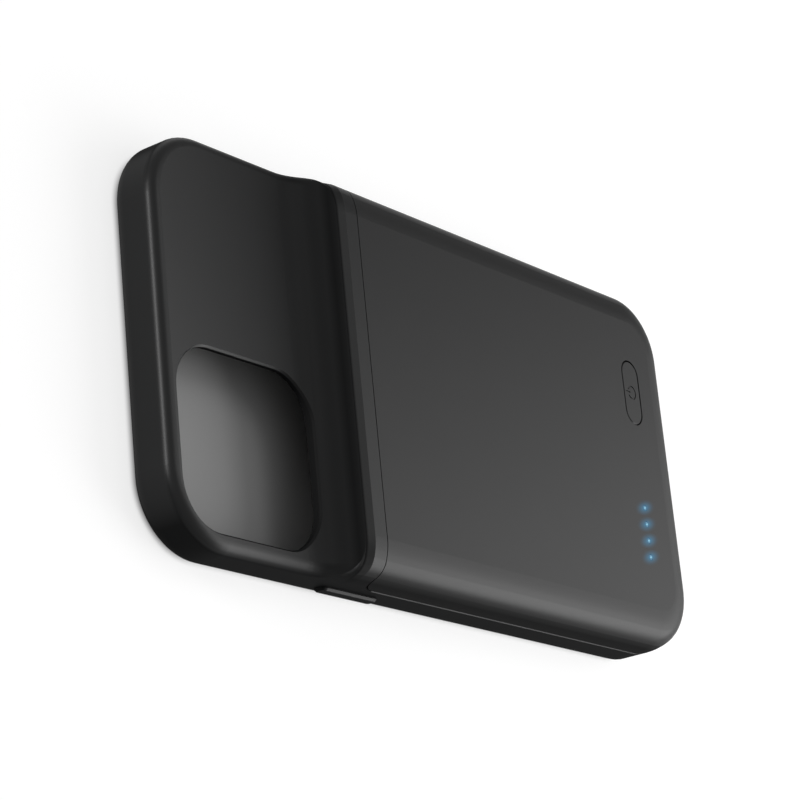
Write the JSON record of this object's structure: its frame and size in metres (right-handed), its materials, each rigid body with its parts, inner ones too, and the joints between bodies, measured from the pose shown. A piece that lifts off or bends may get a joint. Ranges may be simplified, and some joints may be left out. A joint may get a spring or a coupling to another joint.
{
  "type": "battery charging case",
  "caption": "Slim phone case with a built-in battery pack: soft frame with camera opening and scooped ramp, hard pack shell, push button, charge lights, plug and socket.",
  "frame": {"origin": "centre of the case's outline, on the plane of the front rim that it lies on", "axes": "+Y to the phone's top end and the camera opening, +X across the width, +Z out of the back"},
  "size_m": [0.0782, 0.1548, 0.0158],
  "materials": {
    "soft_tpu": "matte soft-touch",
    "shell_plastic": "matte soft-touch paint",
    "button_plastic": "matte soft-touch paint",
    "clear_guide": "clear, lit from below",
    "tray_plastic": "fine moulded texture",
    "steel": "plated",
    "cell_foil": "laminate foil",
    "foam_tape": "foam",
    "nickel": "nickel",
    "circuit_board": "solder mask",
    "lead_sleeve": "sleeve",
    "chip_black": "moulded",
    "coil_grey": "ferrite",
    "capacitor_tan": "ceramic chip",
    "led_white": "lens",
    "plunger_white": "moulded",
    "contact_gold": "gold plated",
    "flex_amber": "film"
  },
  "bodies": {
    "case": {"soft_frame": "soft_tpu", "back_cover": "shell_plastic", "light_guide": "clear_guide", "inner_tray": "tray_plastic", "housing_screws": "steel", "phone_plug": "steel", "charge_socket_shell": "steel", "battery_cell": "cell_foil", "cell_tape": "foam_tape", "cell_tabs": "nickel", "main_board": "circuit_board", "protection_board": "circuit_board", "battery_leads": "lead_sleeve", "control_chip": "chip_black", "tact_switch": "chip_black", "plug_base": "chip_black", "charge_socket_tongue": "chip_black", "power_inductor": "coil_grey", "board_capacitors": "capacitor_tan", "status_leds": "led_white", "plug_contacts": "contact_gold", "plug_flex": "flex_amber"},
    "button": {"power_button": "button_plastic", "switch_plunger": "plunger_white"}
  },
  "joints": [
    {"name": "button_press", "type": "slide", "parent": "case", "child": "button", "axis": [0, 0, -1], "range_m": [0, 0.0003], "stiffness_N_per_m": 1200, "springref_m": -0.0003}
  ]
}
